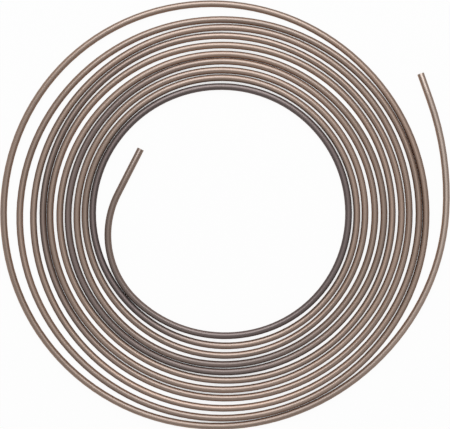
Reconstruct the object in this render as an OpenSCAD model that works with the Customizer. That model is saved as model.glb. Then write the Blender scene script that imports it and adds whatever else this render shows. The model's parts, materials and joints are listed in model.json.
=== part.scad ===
// Coil of brake line tubing: one length of thin metal tube, wound flat in a single layer.
// The turns lie side by side on the floor, loosely, so that some touch and others stand apart.
// Seen from above, the tube runs anticlockwise from its inner end to its outer end.
// Both ends are cut square and left bare. The origin is under the middle of the coil's box.

/* [Tube] */
// Outside diameter of the tube
tube_od = 4.76; // [3:0.01:8]
// Thickness of the tube's wall
tube_wall = 0.71; // [0.5:0.01:1.2]

/* [Winding] */
// Radius of the innermost turn, to the middle of the tube
inner_turn_r = 86; // [70:0.5:140]
// Room left between two turns that lie against each other
turn_clearance = 0.03; // [0.02:0.01:1]
// Size of one step in the lists of air between turns
air_step = 0.5; // [0.1:0.05:0.7]

/* [Inner end] */
// Radius of the bend that leads the tube into the eye of the coil
inner_bend_r = 63; // [50:1:75]
// Angle of that bend
inner_bend_angle = 73; // [60:1:80]
// Straight length before the inner cut
inner_leg = 35.5; // [15:0.5:40]

/* [Outer end] */
// Radius of the bend that opens the tube away from the coil
outer_bend_r = 200; // [160:5:400]
// Angle of that bend
outer_bend_angle = 23; // [10:1:30]
// Straight length before the outer cut
outer_leg = 19.5; // [15:0.5:60]

/* [Smoothness] */
// Flat sides of the tube's section along its bent stretch
tube_sides = 8; // [8:4:16]
// Sections in one turn
sections_per_turn = 36; // [24:4:48]
// Largest angle between sections in the bends at the ends
bend_step = 6; // [4:1:10]

/* [Hidden] */

tube_color = [0.62, 0.54, 0.48];
leg_fn = 48;

tube_r = tube_od / 2;
bore_r = tube_r - tube_wall;
pitch = tube_od + turn_clearance;

// How far the bent stretch reaches into each straight leg, so that they are one piece
leg_overlap = tube_wall;

// Stations stand every eighth of a turn. The first is at the lower left, seen from above.
stations = 8;
station_angle = 360 / stations;
first_angle = 225;
radian = 180 / PI;

// How far the innermost turn strays from an even spiral at each station, in steps.
// The first value stands one station before the winding and only steers its start.
stray = [5, 0, -2, 3, 1, -1, -2, 0, 2];

// Air between each turn and the next one out, in steps: a row for each turn, from the inside,
// with its stations in the order of the winding. The last turn opens out towards the tube's end.
air_rows = [
    [0, 6, 3, 2, 1, 4, 0, 1],
    [3, 5, 1, 2, 3, 0, 3, 0],
    [7, 2, 3, 5, 2, 4, 0, 4],
    [0, 1, 2, 4, 1, 0, 1, 3],
    [0, 2, 5, 0, 7, 1, 7, 3],
    [5, 4, 0, 5, 0, 5, 2, 0],
    [1, 2, 4, 0, 4, 2, 0, 4],
    [6, 5, 2, 5, 2, 0, 6, 11],
    [7, 4, 2, 0, 0, 13, 21, 12],
    [10, 0, 0, 19, 33]
];
air = [for (row = air_rows) each row];

// The winding ends one station before the last value, which only steers its direction
last_station = stations + len(air) - 2;

// Radius held at a station. The first turn climbs evenly by one pitch,
// and each later turn lies outside the one before it by a pitch and its air.
function station_r(i) =
    i < stations
        ? inner_turn_r + pitch * i / stations + air_step * stray[i + 1]
        : station_r(i - stations) + pitch + air_step * air[i - stations];

held_r = [for (i = [-1 : last_station + 1]) station_r(i)];

// A uniform cubic spline smooths the held radii. Its weights are never negative,
// so two turns never come closer than one pitch, whatever the sizes are.
function spline(t) = [
    pow(1 - t, 3) / 6,
    (3 * pow(t, 3) - 6 * pow(t, 2) + 4) / 6,
    (-3 * pow(t, 3) + 3 * pow(t, 2) + 3 * t + 1) / 6,
    pow(t, 3) / 6
];

function spline_slope(t) = [
    -pow(1 - t, 2) / 2,
    (3 * pow(t, 2) - 4 * t) / 2,
    (-3 * pow(t, 2) + 2 * t + 1) / 2,
    pow(t, 2) / 2
];

function span(u) = min(floor(u), last_station - 1);
function near_r(u) = [for (k = [0 : 3]) held_r[span(u) + k]];
function coil_r(u) = spline(u - span(u)) * near_r(u);
function coil_climb(u) = spline_slope(u - span(u)) * near_r(u) / station_angle * radian;

// A section is [x, y, heading]: a point on the tube's middle line and the way the tube runs there
function coil_section(u) =
    let (angle = first_angle + station_angle * u)
    let (r = coil_r(u))
    [r * cos(angle), r * sin(angle), angle + atan2(r, coil_climb(u))];

function left_of(heading) = [-sin(heading), cos(heading)];
function ahead(heading) = [cos(heading), sin(heading)];
function place(section) = [section.x, section.y];

// The section reached from another by a left bend. A negative angle walks back along the bend.
function bend(section, r, angle) =
    let (turned = section.z + angle)
    let (p = place(section) + r * (left_of(section.z) - left_of(turned)))
    [p.x, p.y, turned];

// The section that lies a little way ahead of another on a straight stretch
function slid(section, distance) =
    let (p = place(section) + distance * ahead(section.z))
    [p.x, p.y, section.z];

// All turns have their sections at the same angles, so that their flat sides face each other
coil_steps = ceil(last_station * sections_per_turn / stations);
inner_steps = ceil(inner_bend_angle / bend_step);
outer_steps = ceil(outer_bend_angle / bend_step);

coil_sections = [
    for (k = [0 : coil_steps])
        coil_section(min(k * stations / sections_per_turn, last_station))
];
inner_sections = [
    for (k = [inner_steps : -1 : 1])
        bend(coil_sections[0], inner_bend_r, -inner_bend_angle * k / inner_steps)
];
outer_sections = [
    for (k = [1 : outer_steps])
        bend(coil_sections[coil_steps], outer_bend_r, outer_bend_angle * k / outer_steps)
];
inner_section = inner_sections[0];
outer_section = outer_sections[outer_steps - 1];
sections = concat(
    [slid(inner_section, -leg_overlap)],
    inner_sections,
    coil_sections,
    outer_sections,
    [slid(outer_section, leg_overlap)]
);

inner_cut = place(slid(inner_section, -inner_leg));
outer_cut = place(slid(outer_section, outer_leg));

// Middle of the coil's box, seen from above
route = concat([inner_cut], [for (s = sections) place(s)], [outer_cut]);
xs = [for (p = route) p.x];
ys = [for (p = route) p.y];
box_middle = [(min(xs) + max(xs)) / 2, (min(ys) + max(ys)) / 2];

// Corner radius that gives a flat-sided section the area of the round one
corner_scale = sqrt(2 * PI / tube_sides / sin(360 / tube_sides));
side_angle = 360 / tube_sides;

function ring(section, r) = [
    for (j = [0 : tube_sides - 1])
        let (a = side_angle * (j + 0.5))
        let (p = place(section) + r * corner_scale * cos(a) * left_of(section.z))
        [p.x, p.y, r * corner_scale * sin(a)]
];

// Corner j of the outer skin (skin 0) or of the bore (skin 1) at section k
function corner(k, skin, j) = (2 * k + skin) * tube_sides + j % tube_sides;

// Hollow tube along the winding and its two bends, closed by a flat rim at each end
module bent_stretch() {
    ends = len(sections) - 1;
    corners = [
        for (s = sections)
            each concat(ring(s, tube_r), ring(s, bore_r))
    ];
    skins = [
        for (k = [0 : ends - 1], j = [0 : tube_sides - 1])
            each [
                [corner(k, 0, j), corner(k + 1, 0, j), corner(k + 1, 0, j + 1)],
                [corner(k, 0, j), corner(k + 1, 0, j + 1), corner(k, 0, j + 1)],
                [corner(k, 1, j), corner(k + 1, 1, j + 1), corner(k + 1, 1, j)],
                [corner(k, 1, j), corner(k, 1, j + 1), corner(k + 1, 1, j + 1)]
            ]
    ];
    rims = [
        for (j = [0 : tube_sides - 1])
            each [
                [corner(0, 0, j), corner(0, 0, j + 1), corner(0, 1, j + 1), corner(0, 1, j)],
                [corner(ends, 0, j), corner(ends, 1, j), corner(ends, 1, j + 1), corner(ends, 0, j + 1)]
            ]
    ];
    polyhedron(points = corners, faces = concat(skins, rims));
}

// Straight round leg with its bore, from its cut at p to the bend that it runs into along a heading
module straight_leg(p, heading, leg) {
    translate([p.x, p.y, 0])
        rotate([0, 90, heading])
            difference() {
                cylinder(h = leg, r = tube_r, $fn = leg_fn);
                translate([0, 0, -tube_r])
                    cylinder(h = leg + tube_od, r = bore_r, $fn = leg_fn);
            }
}

// The whole tube, one piece from cut to cut
module brake_tube() {
    color(tube_color)
        translate([-box_middle.x, -box_middle.y, tube_r])
            union() {
                bent_stretch();
                straight_leg(inner_cut, inner_section.z, inner_leg);
                straight_leg(outer_cut, outer_section.z + 180, outer_leg);
            }
}

// Length of tube along its middle line
lengths = [for (i = [1 : len(route) - 1]) norm(route[i] - route[i - 1])];
function total(list, i = 0) = i == len(list) ? 0 : list[i] + total(list, i + 1);
echo(tube_length = total(lengths));

brake_tube();
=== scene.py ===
# %% [markdown]
# # A flat coil of brake line tube
#
# Brake line is thin metal tube that is sold as raw stock: one long length, wound flat in a single layer
# and cut square at both ends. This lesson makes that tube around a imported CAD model, which has its true
# size and place. Everything is in metres, with +Z up and the floor at height zero.
#
# The CAD model is loaded first and never changed. Its box is kept, so that the last step can show that
# the finished tube has stayed the same size.

# %% Load the frame
import json
import math
import bpy
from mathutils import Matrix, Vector


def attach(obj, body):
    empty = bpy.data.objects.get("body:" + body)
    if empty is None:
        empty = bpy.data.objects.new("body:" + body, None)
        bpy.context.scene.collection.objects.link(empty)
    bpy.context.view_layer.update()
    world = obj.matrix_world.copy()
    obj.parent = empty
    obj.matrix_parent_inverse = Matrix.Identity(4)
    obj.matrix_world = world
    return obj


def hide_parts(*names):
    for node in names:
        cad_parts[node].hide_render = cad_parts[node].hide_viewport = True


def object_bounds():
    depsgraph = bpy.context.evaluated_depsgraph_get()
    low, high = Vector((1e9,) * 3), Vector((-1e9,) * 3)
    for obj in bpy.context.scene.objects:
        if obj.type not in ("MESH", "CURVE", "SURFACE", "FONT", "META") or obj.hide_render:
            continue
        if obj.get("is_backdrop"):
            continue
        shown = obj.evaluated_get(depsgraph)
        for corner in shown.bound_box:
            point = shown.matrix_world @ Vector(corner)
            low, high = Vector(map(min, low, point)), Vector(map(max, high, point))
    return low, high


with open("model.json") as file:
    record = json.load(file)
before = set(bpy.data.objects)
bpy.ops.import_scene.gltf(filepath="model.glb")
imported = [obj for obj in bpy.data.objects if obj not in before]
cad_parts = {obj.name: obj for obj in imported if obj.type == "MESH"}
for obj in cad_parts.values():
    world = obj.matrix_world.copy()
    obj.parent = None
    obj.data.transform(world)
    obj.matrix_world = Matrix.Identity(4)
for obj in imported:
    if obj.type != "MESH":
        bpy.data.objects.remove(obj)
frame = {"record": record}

MM = 0.001
cad_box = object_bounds()
cad_size = cad_box[1] - cad_box[0]
print("CAD box in mm:", [round(side / MM, 2) for side in cad_size])

# %% [markdown]
# ## Sizes of the tube
#
# A brake line is round outside and hollow all the way, so two sizes make its section: the outside radius
# and the wall. The record states the radius, because the two bare ends are where a nut or a flaring tool
# goes on. It also states how long each straight end is. The wall is the usual one for this stock.

# %% Sizes of the tube
ends = {mount["name"]: mount for mount in frame["record"]["mounts"]}
tube_r = ends["outer_end"]["dims"]["r_mm"] * MM
inner_leg = ends["inner_end"]["dims"]["length_mm"] * MM
outer_leg = ends["outer_end"]["dims"]["length_mm"] * MM
tube_wall = 0.71 * MM
bore_r = tube_r - tube_wall
print(f"tube {2 * tube_r / MM:.2f} mm outside, {2 * bore_r / MM:.2f} mm inside")

# %% [markdown]
# ## The winding
#
# The coil is loose: some turns lie against each other and others stand apart. An even spiral would look
# machine made, so the radius is held at eight stations in every turn, and a smooth curve runs between
# them. Each turn lies outside the one before it by one pitch and a little air. The air is counted in half
# millimetre steps, and it is what gives this coil its own loose shape.
#
# A uniform cubic spline does the smoothing. Its weights are never negative, so it can't push one turn
# into the next.

# %% Radius at each station
turn_clearance = 0.03 * MM
pitch = 2 * tube_r + turn_clearance
inner_turn_r = 86 * MM
air_step = 0.5 * MM
stations = 8
station_angle = math.tau / stations
first_angle = math.radians(225)
stray = [5, 0, -2, 3, 1, -1, -2, 0, 2]
air_rows = [
    [0, 6, 3, 2, 1, 4, 0, 1],
    [3, 5, 1, 2, 3, 0, 3, 0],
    [7, 2, 3, 5, 2, 4, 0, 4],
    [0, 1, 2, 4, 1, 0, 1, 3],
    [0, 2, 5, 0, 7, 1, 7, 3],
    [5, 4, 0, 5, 0, 5, 2, 0],
    [1, 2, 4, 0, 4, 2, 0, 4],
    [6, 5, 2, 5, 2, 0, 6, 11],
    [7, 4, 2, 0, 0, 13, 21, 12],
    [10, 0, 0, 19, 33],
]
air = [step for row in air_rows for step in row]
last_station = stations + len(air) - 2


def held_radius(i):
    """Radius held at station i, counted from the start of the innermost turn."""
    if i < stations:
        return inner_turn_r + pitch * i / stations + air_step * stray[i + 1]
    return held_radius(i - stations) + pitch + air_step * air[i - stations]


held = [held_radius(i) for i in range(-1, last_station + 2)]
print(f"{last_station} stations, radius {min(held) / MM:.1f} to {max(held) / MM:.1f} mm")

# %% [markdown]
# ## From stations to a route
#
# A section is a point on the tube's middle line and the heading of the tube there. The winding gives most
# sections. Before it comes a bend that leads the straight inner end into the coil, and after it a wide
# bend that lets the outer end stand away from the turns. Both are arcs that bend to the left.
#
# The route is worked out about the winding's own axis. The record says where the middle of the outer end
# is, so one move takes the whole route to its place.

# %% Sections along the tube
sections_per_turn = 120
section_angle = math.tau / sections_per_turn
inner_bend_r = 63 * MM
inner_bend_angle = math.radians(73)
outer_bend_r = 200 * MM
outer_bend_angle = math.radians(23)


def ahead(heading):
    return Vector((math.cos(heading), math.sin(heading), 0))


def left_of(heading):
    return Vector((-math.sin(heading), math.cos(heading), 0))


def coil_section(u):
    """Section of the winding, u stations from its start."""
    k = min(int(u), last_station - 1)
    t = u - k
    weights = ((1 - t) ** 3, 3 * t**3 - 6 * t**2 + 4, -3 * t**3 + 3 * t**2 + 3 * t + 1, t**3)
    slopes = (-((1 - t) ** 2), 3 * t**2 - 4 * t, -3 * t**2 + 2 * t + 1, t**2)
    radius = sum(w * r for w, r in zip(weights, held[k : k + 4])) / 6
    climb = sum(s * r for s, r in zip(slopes, held[k : k + 4])) / 2 / station_angle
    angle = first_angle + station_angle * u
    return radius * ahead(angle), angle + math.atan2(radius, climb)


def bent(section, bend_r, angle):
    """Section that a left bend reaches from another; a negative angle walks back."""
    point, heading = section
    return point + bend_r * (left_of(heading) - left_of(heading + angle)), heading + angle


def slid(section, distance):
    """Section that lies straight ahead of another."""
    point, heading = section
    return point + distance * ahead(heading), heading


def shares(angle):
    """Even steps from nearly 0 to 1, one for each section of a bend."""
    steps = math.ceil(angle / section_angle)
    return [step / steps for step in range(1, steps + 1)]


coil_steps = math.ceil(last_station * sections_per_turn / stations)
winding = [
    coil_section(min(k * stations / sections_per_turn, last_station))
    for k in range(coil_steps + 1)
]
inner_bend = [bent(winding[0], inner_bend_r, -inner_bend_angle * s) for s in shares(inner_bend_angle)]
outer_bend = [bent(winding[-1], outer_bend_r, outer_bend_angle * s) for s in shares(outer_bend_angle)]
inner_cut = slid(inner_bend[-1], -inner_leg)
outer_cut = slid(outer_bend[-1], outer_leg)
sections = [inner_cut, *reversed(inner_bend), *winding, *outer_bend, outer_cut]
outer_middle = slid(outer_bend[-1], outer_leg / 2)[0]
winding_axis = Vector(ends["outer_end"]["pos_m"]) - outer_middle
route = [point + winding_axis for point, heading in sections]

# %% Length along the tube
along = [0.0]
for before, after in zip(route, route[1:]):
    along.append(along[-1] + (after - before).length)
tube_length = along[-1]
print(f"{len(route)} sections, {tube_length:.3f} m of tube, axis at {tuple(winding_axis)}")

# %% [markdown]
# ## Sweep the tube
#
# A tube could be a circle that is extruded section by section, but a curve with a round bevel does that
# in one go and keeps the section square to the route. A path is added, made a plain polyline and laid on
# the route. The bevel's vertices lie on the true radius, and one of them points straight down, so the
# tube rests on the floor. The curve is then made a mesh, so that it can get a wall and cut ends.

# %% Sweep the tube
tube_sides = 24
bpy.ops.object.select_all(action="DESELECT")
bpy.ops.curve.primitive_nurbs_path_add(location=(0, 0, 0))
tube = bpy.context.object
tube.name = "wound_tube"
path = tube.data.splines[0]
path.type = "POLY"
path.points.add(len(route) - len(path.points))
for point, place in zip(path.points, route):
    point.co = (*place, 1)
tube.data.twist_mode = "Z_UP"
tube.data.bevel_depth = tube_r
tube.data.bevel_resolution = (tube_sides - 4) // 2  # a bevel has four sides, and two more for each step
bpy.ops.object.convert(target="MESH")
tube.data.name = "wound_tube"
rings = len(tube.data.vertices) // tube_sides
print(f"{rings} rings of {tube_sides}, {len(tube.data.polygons)} faces")

# %% [markdown]
# ## Where a point was before the tube was wound
#
# Drawing leaves fine lines along a tube, and they follow it round every bend. A finish that reads places
# in space would cut across the bends instead. So each point also keeps its place on the straight tube, as
# it came out of the die: how far across, how far up, and how far along.

# %% Places on the straight tube
straight = tube.data.attributes.new("straight", "FLOAT_VECTOR", "POINT")
for vertex in tube.data.vertices:
    ring = vertex.index // tube_sides
    from_middle = vertex.co - route[ring]
    across = from_middle.dot(left_of(sections[ring][1]))
    straight.data[vertex.index].vector = (across, from_middle.z, along[ring])
off_round = max(abs(Vector(p.vector[:2]).length - tube_r) for p in straight.data)
print(f"points lie on the tube's radius to {off_round / MM:.4f} mm")

# %% [markdown]
# ## The wall
#
# The sweep is only a skin. Solidify gives it the wall, inwards, so the outside stays at its size and the
# bore comes out at its own. It also closes the two ends with a flat ring. The tube wears three finishes,
# one on its skin, one in its bore and one on its cuts, so it gets three slots first, and the modifier
# hands the second and third to the faces that it makes.

# %% The wall
skin, bore, cut = [bpy.data.materials.new(name) for name in ("drawn_skin", "dull_bore", "sawn_cut")]
for finish in (skin, bore, cut):
    tube.data.materials.append(finish)
bpy.ops.object.modifier_add(type="SOLIDIFY")
wall = tube.modifiers[-1]
wall.thickness = tube_wall
wall.offset = -1
wall.use_even_offset = True
wall.material_offset = 1
wall.material_offset_rim = 2
bpy.ops.object.modifier_apply(modifier=wall.name)
worn = [sum(face.material_index == slot for face in tube.data.polygons) for slot in range(3)]
print("faces on skin, bore and cuts:", worn)

# %% [markdown]
# ## The cut ends
#
# Such tube is sawn or sheared square and then deburred by a quick turn of a tool, which breaks the sharp
# edges. Under a studio light that small round is what draws the end's outline, so each edge of each cut
# gets a bevel: a larger one outside and a smaller one at the bore. The edges are found by their place,
# because they are the ones that lie in the plane of a cut, all at one radius.

# %% The cut ends
outer_break = 0.22 * MM
bore_break = 0.12 * MM
near = 0.01 * MM


def on_ring(place, section, radius):
    """Does a point lie on the edge of a cut, at this radius?"""
    from_middle = place - section[0] - winding_axis
    in_plane = abs(from_middle.dot(ahead(section[1]))) < near
    return in_plane and abs(from_middle.length - radius) < near


def break_edges(radius, width):
    """Bevel the edges of both cuts that lie at one radius."""
    mesh = tube.data
    mesh.polygons.foreach_set("select", [False] * len(mesh.polygons))
    chosen = [
        any(on_ring(v.co, section, radius) for section in (inner_cut, outer_cut))
        for v in mesh.vertices
    ]
    mesh.vertices.foreach_set("select", chosen)
    picked = [chosen[edge.vertices[0]] and chosen[edge.vertices[1]] for edge in mesh.edges]
    mesh.edges.foreach_set("select", picked)
    bpy.context.tool_settings.mesh_select_mode = (False, True, False)
    bpy.ops.object.mode_set(mode="EDIT")
    bpy.ops.mesh.bevel(offset=width, segments=3, affect="EDGES")
    bpy.ops.object.mode_set(mode="OBJECT")
    return sum(picked)


broken = break_edges(tube_r, outer_break), break_edges(bore_r, bore_break)
bpy.ops.object.shade_smooth_by_angle(angle=math.radians(35))
print("edges broken outside and at the bore:", broken, "faces now:", len(tube.data.polygons))

# %% [markdown]
# ## Lay the skin out flat
#
# A finish that is baked for other programs needs a flat map of the tube. Unwrapped whole, a tube nearly
# eight metres long and fifteen millimetres round is a thread that no picture can hold. So the map cuts
# it into short lengths and lays them side by side as strips: a wide strip for the skin and a narrow one
# for the bore of each length, both slit along the underside. The cut faces lie in a corner, past the end
# of the last strip.

# %% Strips of the map
lengths_cut = 23
room_for_cuts = 0.3
strip_pitch = 1 / lengths_cut
strip_length = tube_length / (lengths_cut - room_for_cuts)
strip_from, strip_share = 0.015, 0.97
across_strip = {0: (0.04, 0.74), 1: (0.84, 0.11)}
cut_slot = 2
cut_middle = Vector((0.85, 1 - strip_pitch / 2))
cut_scale = 0.3 * strip_pitch / tube_r
cuts_apart = 3 * tube_r


def turn_at(across, up):
    """Share of the way round the tube, counted from its underside."""
    return math.atan2(across, up) / math.tau + 0.5


def map_place(corner, length, slot, face_turn):
    """Place on the map of one corner of a face."""
    across, up, far = corner
    if slot == cut_slot:
        at_outer_end = far > tube_length / 2
        return cut_middle + cut_scale * Vector((across + at_outer_end * cuts_apart, up))
    turn = turn_at(across, up)
    turn -= round(turn - face_turn)
    start, share = across_strip[slot]
    along_strip = strip_from + strip_share * (far / strip_length - length)
    return Vector((along_strip, (length + start + share * turn) * strip_pitch))


bake_map = tube.data.uv_layers.new(name="OFBake")
places = tube.data.attributes["straight"].data
for face in tube.data.polygons:
    corners = [places[v].vector for v in face.vertices]
    middle = sum(corners, Vector((0, 0, 0))) / len(corners)
    face_turn = turn_at(middle.x, middle.y)
    length = int(middle.z / strip_length)
    for loop, corner in zip(face.loop_indices, corners):
        bake_map.data[loop].uv = map_place(corner, length, face.material_index, face_turn)
reach = [f(corner.uv[i] for corner in bake_map.data) for f in (min, max) for i in (0, 1)]
print(f"{lengths_cut} strips of {strip_length:.3f} m, map reaches over", [round(edge, 4) for edge in reach])

# %% [markdown]
# ## Shader maths
#
# Finishes are graphs of nodes, and sums in them are hard to read when every sum is a node with links. A
# small class wraps one socket and gives it Python's own operators, so that a line such as
# `1 - mask * 0.3` adds the Math nodes that it needs. One method makes any other node.

# %% Shader maths
class Wire:
    """One socket of a finish, with Python's operators for its sums."""

    def __init__(self, tree, socket=None):
        self.tree = tree
        self.socket = socket

    def node(self, kind, settings=None, inputs=None, output=0):
        """Add a node: its settings first, then the values or links of its sockets."""
        made = self.tree.nodes.new(kind)
        for name, value in (settings or {}).items():
            if name == "stops":
                self.set_stops(made.color_ramp, value)
            else:
                setattr(made, name, value)
        for name, value in (inputs or {}).items():
            if isinstance(value, Wire):
                self.tree.links.new(value.socket, made.inputs[name])
            else:
                made.inputs[name].default_value = value
        return Wire(self.tree, made.outputs[output] if len(made.outputs) else None)

    @staticmethod
    def set_stops(ramp, stops):
        """Lay out a ramp's stops, each a place and a level of grey."""
        while len(ramp.elements) < len(stops):
            ramp.elements.new(1.0)
        for element, (place, level) in zip(ramp.elements, stops):
            element.position = place
            element.color = (level, level, level, 1)

    def math(self, operation, a, b):
        return self.node("ShaderNodeMath", {"operation": operation}, {0: a, 1: b})

    def __add__(self, other):
        return self.math("ADD", self, other)

    def __sub__(self, other):
        return self.math("SUBTRACT", self, other)

    def __mul__(self, other):
        return self.math("MULTIPLY", self, other)

    def __truediv__(self, other):
        return self.math("DIVIDE", self, other)

    def __pow__(self, other):
        return self.math("POWER", self, other)

    def __rsub__(self, other):
        return self.math("SUBTRACT", other, self)

    __radd__ = __add__
    __rmul__ = __mul__

    def clamped(self, low, high):
        """This value as a share of the way from low to high, kept between 0 and 1."""
        return self.node("ShaderNodeMapRange", {}, {0: self, 1: low, 2: high, 3: 0.0, 4: 1.0})

    def scaled(self, x, y, z):
        """This vector, stretched along its three directions."""
        return self.node("ShaderNodeVectorMath", {"operation": "MULTIPLY"}, {0: self, 1: (x, y, z)})

    def noise(self, scale, detail, roughness):
        """Smooth noise over this vector, about 0.5 on average."""
        inputs = {"Vector": self, "Scale": scale, "Detail": detail, "Roughness": roughness}
        return self.node("ShaderNodeTexNoise", {}, inputs)

    def blend(self, first, second):
        """A colour between two colours, by this share."""
        return self.node("ShaderNodeMix", {"data_type": "RGBA"}, {0: self, 6: first, 7: second}, output=2)

    def shade(self, colour):
        """A colour, darkened or lightened by this factor."""
        inputs = {"Vector": colour, "Scale": self}
        return self.node("ShaderNodeVectorMath", {"operation": "SCALE"}, inputs)


def fresh(material):
    """Empty a material's graph, and give back the wire that its nodes are made from."""
    material.use_nodes = True
    material.node_tree.nodes.clear()
    return Wire(material.node_tree)


def surface(wire, shader):
    """Send a shader to the surface of its material."""
    wire.node("ShaderNodeOutputMaterial", {}, {"Surface": shader})


def bare_metal(wire, inputs):
    """Make the surface a metal with these inputs."""
    surface(wire, wire.node("ShaderNodeBsdfPrincipled", {}, {"Metallic": 1.0, **inputs}))


def straight_place(wire):
    """Place of each point on the straight tube: across, up and along."""
    return wire.node("ShaderNodeAttribute", {"attribute_name": "straight"}, output="Vector")


mean = 0.5
print("sums for finishes are ready, and noise is about", mean)

# %% [markdown]
# ## The drawn skin
#
# Copper-nickel is a brownish grey metal. Drawn tube of it is satin and not polished: long streaks and fine
# lines run along it and thin tarnish clouds it. The colour goes from brown on the flanks to a lighter tan on
# the crown, which is painted shade and a painted highlight, and to a pale painted highlight on the crown of
# the last stretch before the outer cut. Along the tube it also drifts to a darker grey, painted shade that
# stands for turns lying low among their neighbours: on the innermost turn, growing from the cut, and in
# three stretches further out.
#
# The places of painted shade are a ramp along the tube. A ramp is short to write and is the same on every
# run, where painting by hand would need a picture.

# %% Colours of the skin, its painted highlights and its painted shade
# tan on the crown and brown on the flanks are a painted highlight and painted shade; the pale colour is a
# painted highlight on the outer tail; the grey is painted shade
crown_highlight_tan = (0.42, 0.287, 0.215, 1)
flank_shade_brown = (0.48, 0.303, 0.214, 1)
shade_grey = (0.21, 0.158, 0.149, 1)
tail_highlight_colour = (0.66, 0.53, 0.45, 1)
# the painted highlight on the outer tail starts this far before the cut and is full this far before it
tail_highlight_from, tail_highlight_full = 260 * MM, 90 * MM
# the painted shade starts faint at the inner cut and is full this far along
tip_shade, tip_fade = 0.25, 190 * MM
inner_turn_end = 8.6
# stretches of painted shade: first station, last station and depth
shade_stretches = [(24.4, 25.8, 0.75), (29.5, 33.8, 0.85), (53.4, 56.2, 0.5)]
fade = 0.5


def share_at(u):
    """Share of the tube's length at u stations along the winding."""
    ring = len(inner_bend) + 1 + u * sections_per_turn / stations
    return along[round(ring)] / tube_length


# the ramp of painted shade along the tube
shade_stops = [(0.0, tip_shade), (tip_fade / tube_length, 1.0)]
shade_stops += [(share_at(inner_turn_end - fade), 1.0), (share_at(inner_turn_end + fade), 0.0)]
for start, stop, level in shade_stretches:
    shade_stops += [(share_at(start - fade), 0.0), (share_at(start + fade), level)]
    shade_stops += [(share_at(stop - fade), level), (share_at(stop + fade), 0.0)]
print("dull stops:", [round(place, 3) for place, level in shade_stops])

# %% [markdown]
# The marks are noise over the straight tube, squeezed along it so that they come out long. Each one then
# lightens or darkens the metal by its own weight.
#
# A metal's own reflection rises to white at a grazing angle. Tarnish stops that, so the edge tint is dark,
# and the tube keeps the dark outline that it has on a white ground. A thin clear film gives the crown a
# crisp gleam with no colour of its own, and less of it in the stretches of painted shade.

# %% The drawn skin
wire = fresh(skin)
place = straight_place(wire)
up = wire.node("ShaderNodeSeparateXYZ", {}, {0: place}, output="Y")
far = wire.node("ShaderNodeSeparateXYZ", {}, {0: place}, output="Z")
share = far / tube_length
crown = (up * up) / tube_r**2
# painted shade: a darker grey along the tube
painted_shade = wire.node("ShaderNodeValToRGB", {"stops": shade_stops}, {0: share})
# a painted highlight: a pale streak on the crown of the outer tail
tail_highlight = share.clamped(1 - tail_highlight_from / tube_length, 1 - tail_highlight_full / tube_length) * crown**4

lines = place.scaled(1, 1, 0.004).noise(scale=1900, detail=3, roughness=0.6)
streaks = place.scaled(1, 1, 0.003).noise(scale=900, detail=2, roughness=0.5).clamped(0.33, 0.67)
clouds = place.scaled(1, 1, 0.03).noise(scale=420, detail=4, roughness=0.6)
drift = place.scaled(0, 0, 1).noise(scale=5.5, detail=3, roughness=0.6)
specks = place.scaled(1, 1, 0.6).noise(scale=1500, detail=1, roughness=0.5).clamped(0.76, 0.82)

# the crown term lightens the top of the tube: a painted highlight
level = 0.56 + 0.1 * crown + 0.46 * streaks
level = level + 0.4 * (lines - mean) + 0.3 * (clouds - mean) + 0.5 * (drift - mean)
# brown flanks to tan crown are painted shade and a painted highlight; the grey adds painted shade, the pale
# tail a painted highlight
metal = tail_highlight.blend(painted_shade.blend(crown.blend(flank_shade_brown, crown_highlight_tan), shade_grey), tail_highlight_colour)
bare_metal(
    wire,
    {
        "Base Color": (level * (1 - 0.4 * specks)).shade(metal),
        "Roughness": 0.53 - 0.05 * crown + 0.12 * (clouds - mean) + 0.12 * (lines - mean),
        # less film where the shade is painted
        "Coat Weight": 0.9 * crown * (1 - 0.5 * painted_shade),
        "Coat Roughness": 0.17,
        "Coat IOR": 2.2,
        "Specular Tint": (0.30, 0.23, 0.19, 1),
        "Normal": wire.node("ShaderNodeBump", {}, {"Strength": 0.25, "Distance": 0.05 * MM, "Height": lines}),
    },
)
print(f"skin: {len(skin.node_tree.nodes)} nodes")

# %% [markdown]
# ## The bore and the cuts
#
# The bore was never rubbed or handled, so it is a dull, darker metal with the same lines. The cuts are
# bare metal that the blade has just opened: brighter, with fine marks that run one way across the ring.

# %% The bore and the cuts
wire = fresh(bore)
lines = straight_place(wire).scaled(1, 1, 0.02).noise(scale=1600, detail=2, roughness=0.5)
bare_metal(
    wire,
    {
        "Base Color": (0.7 + 0.6 * lines).shade((0.13, 0.10, 0.085)),
        "Roughness": 0.55 + 0.15 * (lines - mean),
    },
)

wire = fresh(cut)
marks = straight_place(wire).scaled(0.06, 1, 0).noise(scale=9000, detail=2, roughness=0.6)
bare_metal(
    wire,
    {
        "Base Color": (0.8 + 0.4 * marks).shade((0.50, 0.40, 0.33)),
        "Roughness": 0.30 + 0.2 * (marks - mean),
        "Normal": wire.node("ShaderNodeBump", {}, {"Strength": 0.4, "Distance": 0.03 * MM, "Height": marks}),
    },
)
print(f"bore: {len(bore.node_tree.nodes)} nodes, cuts: {len(cut.node_tree.nodes)} nodes")

# %% [markdown]
# ## Seat the tube in the frame
#
# The finished tube stands for the CAD solid, which stays for collision and is hidden here. It moves with
# the one body that this part has.

# %% Seat the tube in the frame
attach(tube, "root")
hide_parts("brake_tube")

# %% [markdown]
# ## The studio
#
# The coil lies on a plain pale floor. To the camera and in reflections most of the floor's colour is even
# white, and the rest is lit, so the tube's soft shadow still shows. The even white fades out where two
# turns stand so close that hardly any sky reaches the floor between them, because such a gap is dark.
#
# One large soft lamp leans over the coil from its upper side, a weak one hangs above its middle, and a plain
# grey sky fills the shadows.

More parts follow.
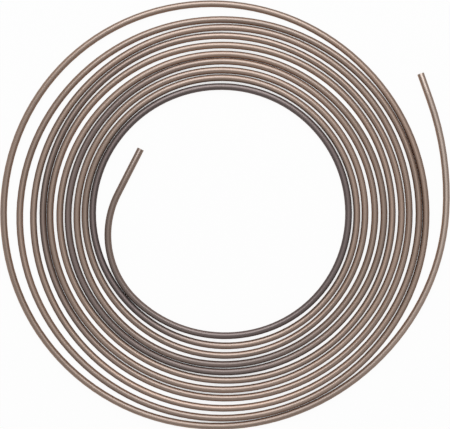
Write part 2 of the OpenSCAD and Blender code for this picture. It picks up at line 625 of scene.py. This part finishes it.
# %% Floor
bpy.ops.object.select_all(action="DESELECT")
bpy.ops.mesh.primitive_plane_add(size=12, location=(0, 0, 0))
floor = bpy.context.object
floor.name = "floor"
paper = bpy.data.materials.new("white_paper")
floor.data.materials.append(paper)
even_share = 0.95
dark_gap, open_gap = 0.08, 0.15  # share of the sky that reaches gaps of 0.4 mm and 0.8 mm
wire = fresh(paper)
rays = ("Is Camera Ray", "Is Glossy Ray", "Is Transmission Ray")
camera_ray, glossy_ray, through_ray = [wire.node("ShaderNodeLightPath", output=ray) for ray in rays]
seen = camera_ray + glossy_ray + through_ray
lit = wire.node("ShaderNodeBsdfDiffuse", {}, {"Color": (0.92, 0.92, 0.92, 1)})
even = wire.node("ShaderNodeEmission", {}, {"Color": (1, 1, 1, 1), "Strength": 1.0})
open_sky = wire.node("ShaderNodeAmbientOcclusion", {"samples": 8}, {"Distance": 4 * tube_r}, output="AO")
white_share = seen.math("MINIMUM", seen, 1.0) * open_sky.clamped(dark_gap, open_gap) * even_share
surface(wire, wire.node("ShaderNodeMixShader", {}, {0: white_share, 1: lit, 2: even}))
floor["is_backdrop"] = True
print("floor:", tuple(floor.dimensions))

# %% Light
key_tilt = math.radians(37)
key_distance = 1.25
key_wide, key_high = 0.95, 1.15
key_radiance = 2.2
bpy.ops.object.light_add(
    type="AREA",
    location=(0, key_distance * math.sin(key_tilt), key_distance * math.cos(key_tilt)),
    rotation=(-key_tilt, 0, 0),
)
key = bpy.context.object.data
key.shape = "RECTANGLE"
key.size = key_wide
key.size_y = key_high
key.energy = key_radiance * key_wide * key_high * math.pi

fill_place = (0, -0.1, 0.9)
fill_size = 0.8
fill_radiance = 0.18
bpy.ops.object.light_add(type="AREA", location=fill_place)
fill = bpy.context.object.data
fill.shape = "SQUARE"
fill.size = fill_size
fill.energy = fill_radiance * fill_size**2 * math.pi

world = bpy.data.worlds.new("plain_sky")
bpy.context.scene.world = world
world.use_nodes = True
sky = world.node_tree.nodes["Background"]
sky.inputs["Color"].default_value = (1, 1, 1, 1)
sky.inputs["Strength"].default_value = 0.42
print(f"key {key.energy:.2f} W, fill {fill.energy:.2f} W, sky {sky.inputs['Strength'].default_value:.2f}")

# %% [markdown]
# ## The camera
#
# The coil is seen straight from above. A long lens a metre away keeps the tube's flanks from showing, and
# the width of the view follows from the size of one pixel on the floor.

# %% Camera
mm_per_pixel = 0.70
image_width = 450
lens = 120
sensor = 36
view_middle = Vector((-0.18 * MM, 0.25 * MM, tube_r))
view_width = image_width * mm_per_pixel * MM
bpy.ops.object.camera_add(
    location=view_middle + Vector((0, 0, lens * view_width / sensor)),
    rotation=(0, 0, 0),
)
camera = bpy.context.object
camera.data.lens = lens
camera.data.sensor_width = sensor
scene = bpy.context.scene
scene.camera = camera
scene.view_settings.view_transform = "Standard"
print(f"camera {camera.location.z:.3f} m above the floor, {view_width / MM:.1f} mm wide")

visual_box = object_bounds()
visual_size = visual_box[1] - visual_box[0]
print("finished box in mm:", [round(side / MM, 2) for side in visual_size])
